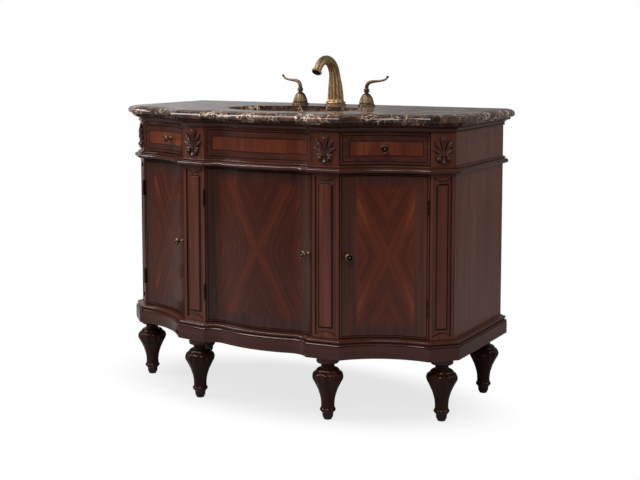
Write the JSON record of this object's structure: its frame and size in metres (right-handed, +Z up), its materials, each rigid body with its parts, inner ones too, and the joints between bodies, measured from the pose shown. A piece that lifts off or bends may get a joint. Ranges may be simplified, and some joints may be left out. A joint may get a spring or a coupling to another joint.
{
  "type": "sink chest",
  "caption": "Serpentine bathroom sink chest with marble top, undermount oval basin, widespread faucet, curved doors and frieze drawers on turned legs.",
  "frame": {"origin": "on the floor, under the middle of the top's outline", "axes": "+X to the right along the chest, +Y towards the wall, +Z up"},
  "size_m": [1.22, 0.6, 1.0803],
  "materials": {
    "mahogany": "satin lacquer over dark red mahogany",
    "plain_wood": "plain inner wood",
    "marble": "polished dark brown marble with pale veins",
    "porcelain": "glossy glaze",
    "antique_brass": "aged, brushed",
    "hardware_brass": "plain",
    "steel": "brushed",
    "dark_plastic": "matte"
  },
  "bodies": {
    "chest": {"aerator": "steel", "back_panel": "plain_wood", "base_moulding": "mahogany", "basin": "porcelain", "basin_clips": "steel", "bottom_board": "mahogany", "carved_leaves": "mahogany", "cornice_moulding": "mahogany", "door_catches": "dark_plastic", "drain_flange": "antique_brass", "drain_locknut": "hardware_brass", "drain_tailpiece": "hardware_brass", "drawer_runners": "plain_wood", "false_drawer_front": "mahogany", "faucet_nuts": "hardware_brass", "faucet_shanks": "hardware_brass", "foot_glides": "dark_plastic", "handle_bells": "antique_brass", "hinge_frame_leaves": "hardware_brass", "hinge_pins": "hardware_brass", "left_back_leg": "mahogany", "left_inner_leg": "mahogany", "left_inner_post": "mahogany", "left_outer_leg": "mahogany", "left_outer_post": "mahogany", "left_partition": "plain_wood", "left_side_panel": "mahogany", "leg_blocks": "plain_wood", "marble_top": "marble", "middle_rails": "plain_wood", "plinth_apron": "mahogany", "right_back_leg": "mahogany", "right_inner_leg": "mahogany", "right_inner_post": "mahogany", "right_outer_leg": "mahogany", "right_outer_post": "mahogany", "right_partition": "plain_wood", "right_side_panel": "mahogany", "spout": "antique_brass", "spout_base": "antique_brass", "top_rails": "plain_wood", "waist_moulding": "mahogany"},
    "right_door": {"right_door": "mahogany", "right_door_knob": "antique_brass", "right_door_fittings": "hardware_brass"},
    "left_door": {"left_door": "mahogany", "left_door_knob": "antique_brass", "left_door_fittings": "hardware_brass"},
    "centre_door": {"centre_door": "mahogany", "centre_door_knob": "antique_brass", "centre_door_fittings": "hardware_brass"},
    "right_drawer": {"right_drawer_front": "mahogany", "right_drawer_box": "plain_wood", "right_drawer_knob": "antique_brass"},
    "left_drawer": {"left_drawer_front": "mahogany", "left_drawer_box": "plain_wood", "left_drawer_knob": "antique_brass"},
    "right_lever": {"right_lever": "antique_brass"},
    "left_lever": {"left_lever": "antique_brass"},
    "stopper": {"drain_stopper": "antique_brass"}
  },
  "joints": [
    {"name": "right_door_hinge", "type": "hinge", "parent": "chest", "child": "right_door", "pos_m": [0.51563, -0.14252, 0.49625], "axis": [0, 0, 1], "range_deg": [0, 105]},
    {"name": "left_door_hinge", "type": "hinge", "parent": "chest", "child": "left_door", "pos_m": [-0.51563, -0.14252, 0.49625], "axis": [0, 0, -1], "range_deg": [0, 105]},
    {"name": "centre_door_hinge", "type": "hinge", "parent": "chest", "child": "centre_door", "pos_m": [-0.19004, -0.26425, 0.49625], "axis": [0, 0, -1], "range_deg": [0, 105]},
    {"name": "right_drawer_slide", "type": "slide", "parent": "chest", "child": "right_drawer", "axis": [0, -1, 0], "range_m": [0, 0.25]},
    {"name": "left_drawer_slide", "type": "slide", "parent": "chest", "child": "left_drawer", "axis": [0, -1, 0], "range_m": [0, 0.25]},
    {"name": "right_lever_turn", "type": "hinge", "parent": "chest", "child": "right_lever", "pos_m": [0.126, 0.21904, 0.96], "axis": [0, 0, -1], "range_deg": [0, 90]},
    {"name": "left_lever_turn", "type": "hinge", "parent": "chest", "child": "left_lever", "pos_m": [-0.126, 0.21904, 0.96], "axis": [0, 0, 1], "range_deg": [0, 90]},
    {"name": "stopper_lift", "type": "slide", "parent": "chest", "child": "stopper", "axis": [0, 0, 1], "range_m": [0, 0.01]}
  ]
}
